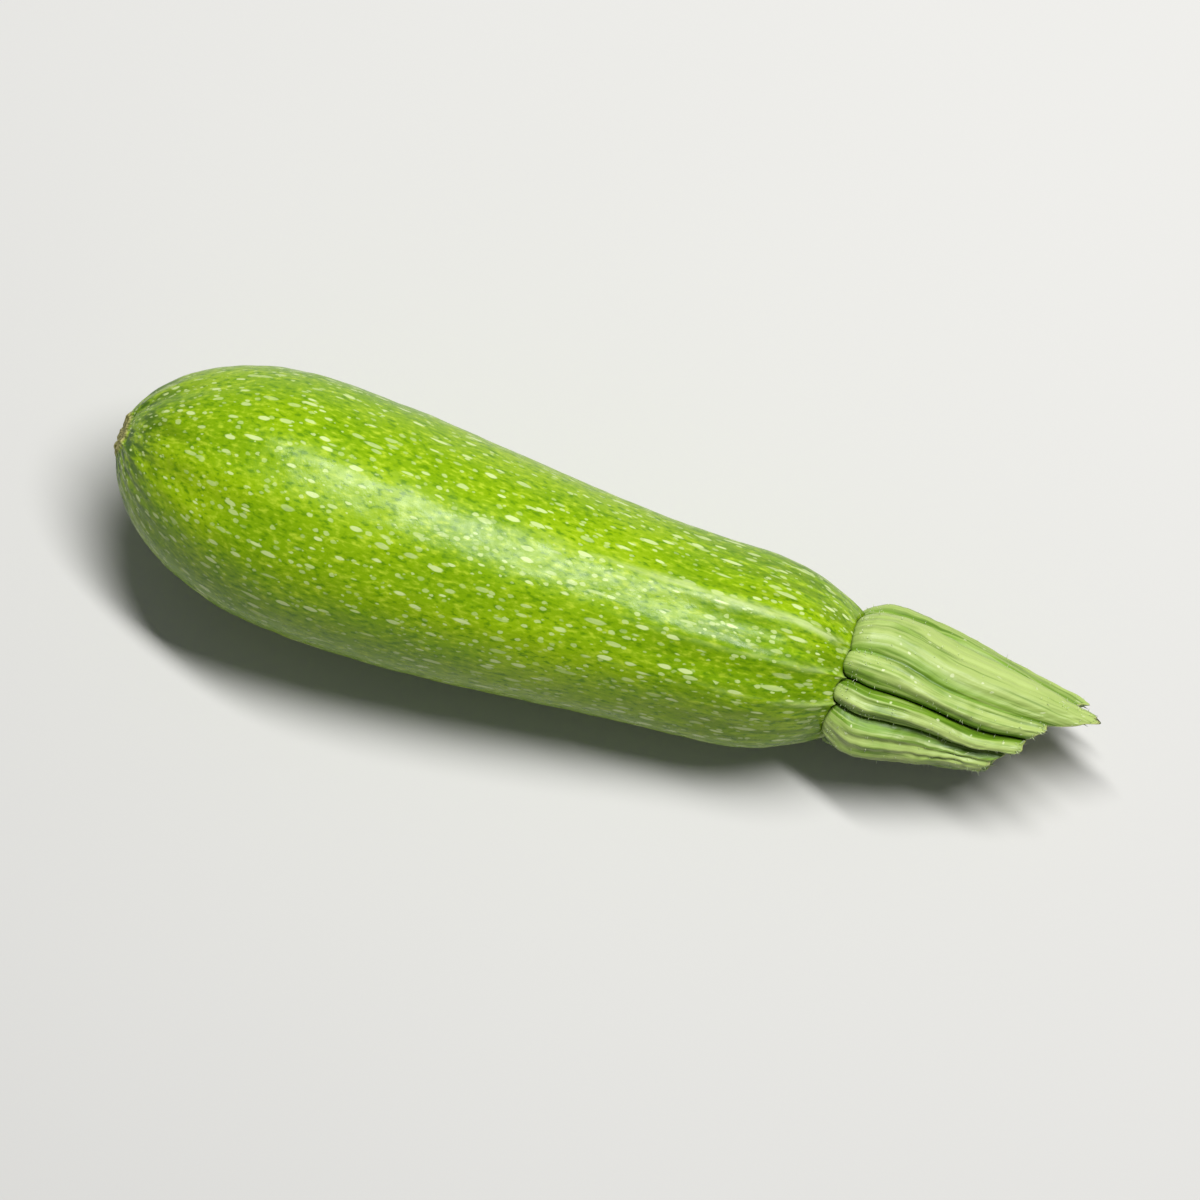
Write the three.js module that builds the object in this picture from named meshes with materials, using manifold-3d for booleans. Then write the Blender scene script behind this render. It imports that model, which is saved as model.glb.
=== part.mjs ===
// A pale green zucchini lying on its side: the fruit, and the ridged stem that it was cut off with.
// Millimetres, +Z up. The fruit lies along X, blossom end towards -X and stem towards +X, and rests
// on small flat spots on its underside. The origin is under the middle of the whole zucchini.
//
// Both solids start as a lathe round the fruit's axis and are then reshaped by formula. A place on
// them is given by "along", the distance from the blossom end, and by an angle round the axis that
// starts at the top and turns towards the front, -Y.

import * as THREE from "three";
import { mergeVertices } from "three/addons/utils/BufferGeometryUtils.js";
import Module from "manifold-3d";

const { clamp, degToRad, lerp, smoothstep } = THREE.MathUtils;

// The fruit: a half ellipsoid at the blossom end, a taper towards the neck, and a rounded shoulder.
const FRUIT_LENGTH = 140;
const BELLY_RADIUS = 24;
const BLOSSOM_CAP_LENGTH = 38;
const NECK_RADIUS = 18.4;
const TAPER_START = 40;
const TAPER_END = 125;
const SHOULDER_START = 116;
const SHOULDER_DROP = 0.34;
const SHOULDER_POWER = 2.7;
const SIDEWAYS_BOW = 2.6;
const OVALITY = 0.012;
const OVAL_TURN = degToRad(57);

// The scar that the flower left: a low button with a dished face. Each of its rings has its radius
// as a share of the scar's, and its height over the ellipsoid as a share of the button's.
const SCAR_RADIUS = 4.2;
const SCAR_RISE = 0.4;
const SCAR_DISH = 0.5;
const SCAR_RINGS = [
  { share: 0.55, rise: 0.2 },
  { share: 0.85, rise: 1 },
  { share: 1, rise: 0.6 },
];
const SKIN_START = 1.1;

// The seat in the shoulder that the stem grows from, and the lip round it. Each ring of the lip has
// its place between the shoulder's rim, 0, and the seat's rim, 1, and how far it stands out.
const SEAT_DEPTH = 1.4;
const SEAT_RADIUS = 10.2;
const SEAT_GAP = 0.3;
const LIP_RINGS = [
  { share: 0.35, rise: 0.3 },
  { share: 0.7, rise: 0 },
  { share: 1, rise: -0.7 * SEAT_DEPTH },
];
const SEAT_FLOOR = 0.9;

// Faint ribs of the fruit, whose crests meet the grooves between the stem's ridges. They grow
// towards both ends of the fruit, and fade out at the scar and at the seat.
const RIB_AT_BELLY = 0.1;
const RIB_AT_SHOULDER = 0.7;
const RIB_AT_BLOSSOM = 0.25;
const RIB_GROWS_FROM = 91;
const RIB_GROWS_TO = 129;
const RIB_FADES_FROM = 130;
const RIB_CLEAR_OF_SCAR = 8.4;

// The stem: eight uneven ridges with deep grooves between them, cut off at a slant. Each ridge has
// its width round the stem, the height of its crest as a share of the stem's radius, and how far it
// stands out past the cut. The first one starts at FIRST_GROOVE.
const STEM_LENGTH = 37;
const FIRST_GROOVE = degToRad(-68);
const RIDGES = [
  { width: degToRad(57), crest: 1.07, past: 4.5 },
  { width: degToRad(27), crest: 0.98, past: 0.5 },
  { width: degToRad(27), crest: 1.02, past: 1.0 },
  { width: degToRad(55), crest: 1.05, past: -0.5 },
  { width: degToRad(48), crest: 0.98, past: 0.8 },
  { width: degToRad(50), crest: 1.03, past: -0.8 },
  { width: degToRad(48), crest: 0.97, past: 0.6 },
  { width: degToRad(48), crest: 1.12, past: 1.2 },
];
const GROOVE_AT_SEAT = 0.14;
const GROOVE_AT_CUT = 0.36;
const CRESTS_RISE_BY = 0.2;
const STEM_TWIST = degToRad(6);
const STEM_BEND = 2.4;

// The stem's crests between the seat and the cut: how far they are from the fruit, and their radius.
const FOOT_CHAMFER = 0.5;
const FOOT_FLAT = 0.88;
const CRESTS = [
  { past: 0.9, radius: 10.3 },
  { past: 2.2, radius: 12.9 },
  { past: 6, radius: 13.9 },
  { past: 15, radius: 13.3 },
  { past: 26, radius: 11.4 },
  { past: 36.4, radius: 9.4 },
];

// The cut at the stem's end: it slants, is slightly dished, and its longest side narrows to a tail.
const CUT_RADIUS = 8.9;
const CUT_SLANT = 0.72;
const CUT_LONGEST_SIDE = degToRad(-75);
const CUT_DISH = 1.2;
const CUT_RINGS = [
  { share: 1, dish: 0 },
  { share: 0.7, dish: 0.3 },
  { share: 0.36, dish: 0.8 },
  { share: 0, dish: 1 },
];
const TAIL_TAPER = 1.5;

// How the fruit lies: its neck lower than its belly, until both touch the surface.
const PITCH = degToRad(4.6);
const FLAT_DEPTH = 0.42;

// Facets.
const SIDES_PER_RIDGE = 8;
const FRUIT_ROWS = 38;
const STEM_ROWS = 20;
const COLUMNS = RIDGES.length * SIDES_PER_RIDGE;

const wasm = await Module();
wasm.setup();

const grooveAngles = [FIRST_GROOVE];
for (const { width } of RIDGES) grooveAngles.push(grooveAngles.at(-1) + width);

/** The ridge at a share of a full turn: its own values, the angle, and the place across it, -1 to 1. */
function ridgeAt(turn) {
  const column = (turn % 1) * RIDGES.length;
  const index = Math.floor(column);
  const share = column - index;
  const angle = lerp(grooveAngles[index], grooveAngles[index + 1], share);
  return { ...RIDGES[index], angle, across: 2 * share - 1 };
}

/** The sideways bow of the axis: a parabola along the fruit, and past the fruit its tangent. */
function bow(along) {
  const half = FRUIT_LENGTH / 2;
  const onFruit = Math.min(along, FRUIT_LENGTH);
  const pastFruit = along - onFruit;
  return -SIDEWAYS_BOW * (1 - ((onFruit - half) / half) ** 2) + (2 * SIDEWAYS_BOW * pastFruit) / half;
}

/** A point at a radius and angle round the bowed axis. */
function roundAxis(radius, angle, along) {
  return new THREE.Vector3(along, bow(along) - radius * Math.sin(angle), radius * Math.cos(angle));
}

/** A closed lathe round the X axis, each of whose points is moved to place(turn, radius, along). */
function reshapedLathe(profile, place) {
  const geometry = new THREE.LatheGeometry(profile, COLUMNS);
  const position = geometry.getAttribute("position");
  const uv = geometry.getAttribute("uv");
  for (let i = 0; i < position.count; i++) {
    const radius = Math.hypot(position.getX(i), position.getZ(i));
    const point = place(uv.getX(i), radius, position.getY(i));
    position.setXYZ(i, point.x, point.y, point.z);
  }
  geometry.rotateY(PITCH);
  return geometry;
}

/** The fruit's radius between its scar and its seat. */
function fruitRadius(along) {
  const fromTip = Math.min(along / BLOSSOM_CAP_LENGTH, 1);
  const blossomCap = Math.sqrt(1 - (1 - fromTip) ** 2);
  const taper = lerp(BELLY_RADIUS, NECK_RADIUS, smoothstep(along, TAPER_START, TAPER_END));
  const past = Math.max(along - SHOULDER_START, 0) / (FRUIT_LENGTH - SHOULDER_START);
  return taper * blossomCap * (1 - SHOULDER_DROP * past ** SHOULDER_POWER);
}

/** How far along the blossom end's ellipsoid reaches a radius. */
function ellipsoidAlong(radius) {
  return BLOSSOM_CAP_LENGTH * (1 - Math.sqrt(1 - (radius / BELLY_RADIUS) ** 2));
}

/** The fruit's outline from the middle of the scar to the middle of the seat. */
function fruitProfile() {
  const scar = SCAR_RINGS.map(({ share, rise }) => {
    const radius = share * SCAR_RADIUS;
    return new THREE.Vector2(radius, ellipsoidAlong(radius) - rise * SCAR_RISE);
  });
  const skinStart = ellipsoidAlong(SKIN_START * SCAR_RADIUS);
  const skin = [];
  for (let row = 0; row <= FRUIT_ROWS; row++) {
    const share = (1 - Math.cos((Math.PI * row) / FRUIT_ROWS)) / 2;
    const along = lerp(skinStart, FRUIT_LENGTH, share);
    skin.push(new THREE.Vector2(fruitRadius(along), along));
  }
  const rimRadius = fruitRadius(FRUIT_LENGTH);
  const lip = LIP_RINGS.map(
    ({ share, rise }) => new THREE.Vector2(lerp(rimRadius, SEAT_RADIUS, share), FRUIT_LENGTH + rise),
  );
  return [
    new THREE.Vector2(0, SCAR_DISH),
    ...scar,
    ...skin,
    ...lip,
    new THREE.Vector2(SEAT_FLOOR * SEAT_RADIUS, FRUIT_LENGTH - SEAT_DEPTH),
    new THREE.Vector2(0, FRUIT_LENGTH - SEAT_DEPTH),
  ];
}

/** Half the height of the fruit's ribs: strongest at the shoulder, none at the scar or the seat. */
function ribHeight(along) {
  const nearShoulder = smoothstep(along, RIB_GROWS_FROM, RIB_GROWS_TO);
  const nearBlossom = 1 - smoothstep(along, RIB_CLEAR_OF_SCAR, BLOSSOM_CAP_LENGTH);
  const height =
    RIB_AT_BELLY +
    (RIB_AT_SHOULDER - RIB_AT_BELLY) * nearShoulder +
    (RIB_AT_BLOSSOM - RIB_AT_BELLY) * nearBlossom;
  const scarFade = smoothstep(along, ellipsoidAlong(SCAR_RADIUS), RIB_CLEAR_OF_SCAR);
  const seatFade = 1 - smoothstep(along, RIB_FADES_FROM, FRUIT_LENGTH - SEAT_DEPTH);
  return height * scarFade * seatFade;
}

/** A point of the fruit: ribs and a slight oval on the lathe's radius. */
function fruitPoint(turn, radius, along) {
  const { angle, across } = ridgeAt(turn);
  const rib = -ribHeight(along) * Math.cos(Math.PI * across);
  const oval = 1 + OVALITY * Math.cos(2 * angle + OVAL_TURN);
  return roundAxis(radius * oval + rib, angle, along);
}

/** The outline of the stem's crests from the middle of its foot to the middle of the cut. */
function stemProfile() {
  const foot = FRUIT_LENGTH - SEAT_DEPTH + SEAT_GAP;
  const cut = FRUIT_LENGTH + STEM_LENGTH;
  const footRadius = SEAT_RADIUS - SEAT_GAP;
  const crests = CRESTS.map(({ past, radius }) => new THREE.Vector2(radius, FRUIT_LENGTH + past));
  return [
    new THREE.Vector2(0, foot),
    new THREE.Vector2(FOOT_FLAT * footRadius, foot),
    new THREE.Vector2(footRadius, foot + FOOT_CHAMFER),
    ...new THREE.SplineCurve(crests).getPoints(STEM_ROWS),
    ...CUT_RINGS.map(({ share, dish }) => new THREE.Vector2(share * CUT_RADIUS, cut - dish * CUT_DISH)),
  ];
}

/** A point of the stem: ridges and grooves on the lathe's radius, the slanting cut, a twist and a bend. */
function stemPoint(turn, radius, along) {
  const { angle, across, crest, past } = ridgeAt(turn);
  const grown = clamp((along - FRUIT_LENGTH) / STEM_LENGTH, 0, 1);
  const crown = Math.sqrt(1 - across ** 2);
  const groove = lerp(GROOVE_AT_SEAT, GROOVE_AT_CUT, Math.sqrt(grown));
  const crestShare = lerp(1, crest, crown * smoothstep(grown, 0, CRESTS_RISE_BY));
  const ridged = radius * crestShare * (1 - groove * (1 - crown));
  const slant = CUT_SLANT * ridged * Math.cos(angle - CUT_LONGEST_SIDE);
  const rim = past * crown * (ridged / CUT_RADIUS) ** 2;
  const drawnOut = grown ** 3 * (slant + rim);
  const narrowed = ridged * (1 - (TAIL_TAPER * Math.max(drawnOut, 0)) / STEM_LENGTH);
  const point = roundAxis(narrowed, angle + STEM_TWIST * grown, along + drawnOut);
  point.y -= STEM_BEND * grown ** 2;
  return point;
}

/** A closed three.js geometry as a solid that can be cut. */
function solidOf(geometry) {
  const bare = geometry.clone();
  bare.deleteAttribute("normal");
  bare.deleteAttribute("uv");
  const merged = mergeVertices(bare);
  return new wasm.Manifold(
    new wasm.Mesh({
      numProp: 3,
      vertProperties: merged.getAttribute("position").array,
      triVerts: new Uint32Array(merged.index.array),
    }),
  );
}

/** A cut solid as a three.js geometry. */
function geometryOf(solid) {
  const { vertProperties, triVerts } = solid.getMesh();
  const geometry = new THREE.BufferGeometry();
  geometry.setAttribute("position", new THREE.BufferAttribute(vertProperties, 3));
  geometry.setIndex(new THREE.BufferAttribute(triVerts, 1));
  geometry.computeVertexNormals();
  return geometry;
}

/** The part of a geometry that is above the resting surface, which gives it its flat spots. */
function aboveSurface(geometry) {
  const side = 4 * FRUIT_LENGTH;
  const ground = new THREE.BoxGeometry(side, side, side).translate(0, 0, -side / 2);
  return geometryOf(solidOf(geometry).subtract(solidOf(ground)));
}

const fruitGeometry = reshapedLathe(fruitProfile(), fruitPoint);
const stemGeometry = reshapedLathe(stemProfile(), stemPoint);

fruitGeometry.computeBoundingBox();
const lift = -fruitGeometry.boundingBox.min.z - FLAT_DEPTH;
fruitGeometry.translate(0, 0, lift);
stemGeometry.translate(0, 0, lift);

const fruit = new THREE.Mesh(
  aboveSurface(fruitGeometry),
  new THREE.MeshStandardMaterial({ color: 0x84ac14, roughness: 0.38, metalness: 0 }),
);
fruit.name = "fruit";

const stem = new THREE.Mesh(
  stemGeometry,
  new THREE.MeshStandardMaterial({ color: 0x93b452, roughness: 0.6, metalness: 0 }),
);
stem.name = "stem";

const zucchini = new THREE.Group();
zucchini.add(fruit, stem);
const middle = new THREE.Box3().setFromObject(zucchini).getCenter(new THREE.Vector3());
zucchini.position.set(-middle.x, -middle.y, 0);

export default zucchini;
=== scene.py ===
"""A pale green zucchini lying on a plain floor.

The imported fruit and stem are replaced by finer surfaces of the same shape, each with its own finish.
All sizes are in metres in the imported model's frame: the zucchini lies along X with its stem towards
+X, and +Z is up. A place on it is given by "along", the distance from its blossom end, and by an angle
round its axis that starts at the top and turns towards the front, -Y.
"""

import logging
import math
from dataclasses import dataclass, field
from enum import Enum

import bpy
import numpy as np
from mathutils import Color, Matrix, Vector


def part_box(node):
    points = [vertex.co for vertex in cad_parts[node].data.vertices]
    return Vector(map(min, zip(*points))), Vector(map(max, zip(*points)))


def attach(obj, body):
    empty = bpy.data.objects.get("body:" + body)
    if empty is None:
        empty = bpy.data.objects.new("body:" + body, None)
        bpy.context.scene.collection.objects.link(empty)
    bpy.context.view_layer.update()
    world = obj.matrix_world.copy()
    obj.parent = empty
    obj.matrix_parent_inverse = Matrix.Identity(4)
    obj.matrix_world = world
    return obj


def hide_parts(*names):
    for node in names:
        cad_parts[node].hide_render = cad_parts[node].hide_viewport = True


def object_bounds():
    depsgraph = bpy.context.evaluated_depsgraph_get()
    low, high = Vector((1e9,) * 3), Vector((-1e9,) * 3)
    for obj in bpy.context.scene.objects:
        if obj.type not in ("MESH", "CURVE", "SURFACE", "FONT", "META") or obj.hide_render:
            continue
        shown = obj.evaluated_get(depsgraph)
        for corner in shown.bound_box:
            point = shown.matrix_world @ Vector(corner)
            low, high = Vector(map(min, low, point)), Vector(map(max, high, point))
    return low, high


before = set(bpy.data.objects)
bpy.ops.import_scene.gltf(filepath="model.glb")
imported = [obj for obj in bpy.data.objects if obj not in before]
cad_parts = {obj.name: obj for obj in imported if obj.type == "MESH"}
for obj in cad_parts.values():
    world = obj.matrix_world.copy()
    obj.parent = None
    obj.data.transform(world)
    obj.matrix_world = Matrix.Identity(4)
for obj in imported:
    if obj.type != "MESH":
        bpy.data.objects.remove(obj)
cad_low, cad_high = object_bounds()

MM = 0.001
FULL_SCREEN_CHANNEL = 255
NEARLY_ZERO = 1e-12
SOFT_DETAIL = 2.0
FINE_DETAIL = 3.0
NOISE_MIDDLE = (0.5, 0.5, 0.5)
log = logging.getLogger("zucchini")

Array = np.ndarray
Colour = tuple[float, float, float, float]
Socket = bpy.types.NodeSocket
Inputs = dict[str | int, object]
Limits = tuple[float, float]


class Part(Enum):
    """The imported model's nodes."""

    FRUIT = "fruit"
    STEM = "stem"


class Slot(Enum):
    """The record's material slots."""

    SKIN = "skin"
    STEM = "stem"


class Attribute(Enum):
    """The values that a surface holds at its points, for its finish to read."""

    GROWTH = "growth"
    ZONES = "zones"


def colour(red: int, green: int, blue: int) -> Colour:
    """A screen colour, 0 to 255 a channel, as the linear colour that a shader takes.

    Args:
        red: Red as shown on a screen.
        green: Green as shown on a screen.
        blue: Blue as shown on a screen.

    Returns:
        The linear colour with full alpha.
    """
    shown = Color([channel / FULL_SCREEN_CHANNEL for channel in (red, green, blue)])
    return (*shown.from_srgb_to_scene_linear(), 1.0)


def smoothstep(value: Array, low: float, high: float) -> Array:
    """The cubic 3t^2 - 2t^3 of a value's place t between low and high, held at 0 and 1 outside.

    Args:
        value: Values to place.
        low: Value that gives 0.
        high: Value that gives 1.

    Returns:
        Shares from 0 to 1.
    """
    share = np.clip((value - low) / (high - low), 0, 1)
    return share * share * (3 - 2 * share)


def mix(low: Array, high: Array, share: Array) -> Array:
    """The value at a share of the way from low to high."""
    return low + (high - low) * share


def unit(vectors: Array) -> Array:
    """Vectors brought to length 1, with a vector of no length left as it is."""
    return vectors / np.maximum(np.linalg.norm(vectors, axis=-1, keepdims=True), NEARLY_ZERO)


def curve_through(points: list[tuple[float, float]], count: int) -> Array:
    """A Catmull-Rom curve: between two points a cubic whose end slopes are half the span of the neighbours.

    Args:
        points: Points that the curve passes through.
        count: Number of points to give back, evenly spread over the stretches.

    Returns:
        Points on the curve, shape (count, 2).
    """
    knots = np.array(points)
    padded = np.concatenate([knots[:1], knots, knots[-1:]])
    place = np.linspace(0, len(knots) - 1, count)
    stretch = np.minimum(place.astype(int), len(knots) - 2)
    share = (place - stretch)[:, None]
    before, start, end, after = (padded[stretch + step] for step in range(4))
    slope_in = (end - before) / 2
    slope_out = (after - start) / 2
    cubic = 2 * start - 2 * end + slope_in + slope_out
    square = -3 * start + 3 * end - 2 * slope_in - slope_out
    return ((cubic * share + square) * share + slope_in) * share + start


def distance_along(profile: Array) -> Array:
    """The distance along a profile at each of its points: the sum of the steps before it."""
    steps = np.linalg.norm(np.diff(profile, axis=0), axis=1)
    return np.concatenate([[0], np.cumsum(steps)])


def evenly_spaced(profile: Array, count: int) -> Array:
    """Points at equal distances along a profile.

    Args:
        profile: Points of the profile, close together, shape (n, 2).
        count: Number of points to give back.

    Returns:
        Points on the profile, shape (count, 2).
    """
    travelled = distance_along(profile)
    wanted = np.linspace(0, travelled[-1], count)
    return np.stack([np.interp(wanted, travelled, profile[:, axis]) for axis in range(2)], axis=1)


@dataclass(frozen=True)
class Relief:
    """A smooth random relief, the same on every run.

    Attributes:
        shortest: Shortest wavelength.
        longest: Longest wavelength.
        height: Root mean square of the height.
        seed: Seed of the random draw.
        waves: Number of sine waves added up.
    """

    shortest: float
    longest: float
    height: float
    seed: int
    waves: int = 48

    def at(self, places: Array) -> Array:
        """The height at places: a sum of sines of the distance along random directions.

        Args:
            places: Points, shape (..., 3).

        Returns:
            Heights, shape (...).
        """
        draw = np.random.default_rng(self.seed)
        directions = unit(draw.normal(size=(self.waves, 3)))
        lengths = draw.uniform(self.shortest, self.longest, size=(self.waves, 1))
        phases = draw.uniform(0, 2 * np.pi, size=self.waves)
        sines = np.sin(places @ (2 * np.pi * directions / lengths).T + phases)
        return self.height * math.sqrt(2 / self.waves) * sines.sum(axis=-1)


@dataclass
class Surface:
    """A closed surface made of rings round an axis, from its first end to its last.

    Attributes:
        rings: Points, shape (rows, columns, 3), whose columns turn from the top to the front.
        values: Further values at the points by attribute, shape (rows, columns, 3).
    """

    rings: Array
    values: dict[Attribute, Array] = field(default_factory=dict)

    @staticmethod
    def _with_ends(rings: Array) -> Array:
        """The rings' values in one list, followed by the means of the first and the last ring."""
        ends = [rings[0].mean(axis=0), rings[-1].mean(axis=0)]
        return np.concatenate([rings.reshape(-1, 3), ends])

    def _faces(self) -> tuple[Array, Array]:
        """Quads between neighbouring rings, and a fan of triangles at each end, all facing outwards.

        Returns:
            Quads, shape (n, 4), and triangles, shape (m, 3), as numbers of points.
        """
        rows, columns = self.rings.shape[:2]
        here = np.arange(columns)
        after = np.roll(here, -1)
        row = columns * np.arange(rows - 1)[:, None]
        quads = np.stack([row + here, row + after, row + columns + after, row + columns + here], axis=-1)
        first, last = rows * columns, rows * columns + 1
        last_row = columns * (rows - 1)
        first_fan = np.stack([np.full(columns, first), after, here], axis=-1)
        last_fan = np.stack([np.full(columns, last), last_row + here, last_row + after], axis=-1)
        return quads.reshape(-1, 4), np.concatenate([first_fan, last_fan])

    def normals(self) -> Array:
        """Unit normals at the points: the cross product of the steps round and along the surface."""
        round_step = np.roll(self.rings, -1, axis=1) - np.roll(self.rings, 1, axis=1)
        along_step = np.gradient(self.rings, axis=0)
        return unit(np.cross(round_step, along_step))

    def lengthwise(self) -> Array:
        """Unit steps along the surface at the points, from the first end towards the last."""
        return unit(np.gradient(self.rings, axis=0))

    def to_object(self, name: str) -> bpy.types.Object:
        """The surface as a smooth-shaded mesh object at the origin.

        Args:
            name: Name of the piece.

        Returns:
            The new object, in the scene.
        """
        quads, triangles = self._faces()
        piece = mesh_object(name, self._with_ends(self.rings), [quads, triangles])
        for attribute, rings in self.values.items():
            layer = piece.data.attributes.new(attribute.value, "FLOAT_VECTOR", "POINT")
            layer.data.foreach_set("vector", self._with_ends(rings).astype(np.float32).ravel())
        return piece


def mesh_object(name: str, points: Array, face_lists: list[Array]) -> bpy.types.Object:
    """A smooth-shaded mesh object at the origin.

    Args:
        name: Name of the object.
        points: Points, shape (n, 3).
        face_lists: Faces as numbers of points, one array for each number of corners.

    Returns:
        The new object, in the scene.
    """
    corners = np.concatenate([faces.ravel() for faces in face_lists])
    sizes = np.concatenate([np.full(len(faces), faces.shape[1]) for faces in face_lists])
    starts = np.concatenate([[0], np.cumsum(sizes)[:-1]])
    mesh = bpy.data.meshes.new(name)
    mesh.vertices.add(len(points))
    mesh.vertices.foreach_set("co", points.astype(np.float32).ravel())
    mesh.loops.add(len(corners))
    mesh.loops.foreach_set("vertex_index", corners.astype(np.int32))
    mesh.polygons.add(len(sizes))
    mesh.polygons.foreach_set("loop_start", starts.astype(np.int32))
    mesh.polygons.foreach_set("use_smooth", np.ones(len(sizes), dtype=bool))
    mesh.update(calc_edges=True)
    mesh.validate()
    piece = bpy.data.objects.new(name, mesh)
    bpy.context.scene.collection.objects.link(piece)
    return piece


@dataclass(frozen=True)
class Ridge:
    """One ridge of the stem.

    Attributes:
        width: Width round the stem, in degrees.
        crest: Height of its crest as a share of the stem's radius.
        past: How far it stands out past the cut.
        groove: Depth of the groove before it as a share of the usual depth.
    """

    width: float
    crest: float
    past: float
    groove: float = 1


@dataclass(frozen=True)
class Growth:
    """The axis that the fruit and the stem grew along, how it lies, and the ridges round it.

    Attributes:
        fruit_length: Length of the fruit.
        bow: Sideways bow of the fruit.
        pitch: How far the stem's end is turned down, in degrees.
        girth: Radius of the round bar that the fruit's patterns are laid out on.
        first_groove: Angle of the groove before the first ridge, in degrees.
        ridges: The stem's ridges, in turn.
    """

    fruit_length: float = 140 * MM
    bow: float = 2.6 * MM
    pitch: float = 4.6
    girth: float = 24 * MM
    first_groove: float = -68
    ridges: tuple[Ridge, ...] = (
        Ridge(width=57, crest=1.07, past=4.5 * MM),
        Ridge(width=27, crest=0.98, past=0.5 * MM, groove=0.35),
        Ridge(width=27, crest=1.02, past=1.0 * MM, groove=1.15),
        Ridge(width=55, crest=1.05, past=-0.5 * MM, groove=0.8),
        Ridge(width=48, crest=0.98, past=0.8 * MM),
        Ridge(width=50, crest=1.03, past=-0.8 * MM),
        Ridge(width=48, crest=0.97, past=0.6 * MM),
        Ridge(width=48, crest=1.12, past=1.2 * MM),
    )

    def columns(self, sides: int) -> tuple[Array, Array, Array]:
        """The columns of a surface, with the same number on each ridge.

        Args:
            sides: Number of columns on a ridge.

        Returns:
            Of each column, its angle, its place across its ridge, -1 to 1, and its ridge's number.
        """
        share = np.arange(sides) / sides
        number = np.repeat(np.arange(len(self.ridges)), sides)
        widths = np.array([ridge.width for ridge in self.ridges])
        grooves = self.first_groove + np.concatenate([[0], np.cumsum(widths)[:-1]])
        angle = grooves[:, None] + widths[:, None] * share
        return np.radians(angle).ravel(), np.tile(2 * share - 1, len(self.ridges)), number

    def nearest_groove(self, across: Array, number: Array) -> Array:
        """The number of the groove that columns are nearest to, which is that of the ridge after it."""
        return (number + (across > 0)) % len(self.ridges)

    def hollow(self, across: Array, number: Array) -> Array:
        """How deep in a groove columns lie: a ridge is half an ellipse, times the nearest groove's depth.

        Args:
            across: Place across the ridge, -1 to 1.
            number: Number of the ridge.

        Returns:
            0 on a crest, and 1 at the bottom of a groove of the usual depth.
        """
        depths = np.array([ridge.groove for ridge in self.ridges])
        return depths[self.nearest_groove(across, number)] * (1 - np.sqrt(1 - across**2))

    def place(self, along: Array, radius: Array, angle: Array, sideways: Array = 0) -> Array:
        """Points round the bowed and pitched axis.

        The axis bows as a parabola along the fruit and follows its tangent past the fruit. The points
        are then turned about Y by the pitch.

        Args:
            along: Distance from the blossom end.
            radius: Distance from the axis.
            angle: Angle round the axis.
            sideways: How far the axis is moved towards -Y.

        Returns:
            Points, shape (..., 3).
        """
        half = self.fruit_length / 2
        on_fruit = np.minimum(along, self.fruit_length)
        tangent = 2 * self.bow * (along - on_fruit) / half
        bow = -self.bow * (1 - ((on_fruit - half) / half) ** 2) + tangent
        across = bow - sideways - radius * np.sin(angle)
        up = radius * np.cos(angle)
        turn = math.radians(self.pitch)
        level = along * math.cos(turn) + up * math.sin(turn)
        height = up * math.cos(turn) - along * math.sin(turn)
        return np.stack(np.broadcast_arrays(level, across, height), axis=-1)

    @staticmethod
    def unrolled(along: Array, angle: Array, girth: Array) -> Array:
        """Places on a plain round bar, so that a pattern follows the growth and closes round the fruit.

        Args:
            along: Distance along the bar.
            angle: Angle round it.
            girth: Radius of the bar.

        Returns:
            Points, shape (..., 3).
        """
        return np.stack(np.broadcast_arrays(along, girth * np.cos(angle), girth * np.sin(angle)), axis=-1)


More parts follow.
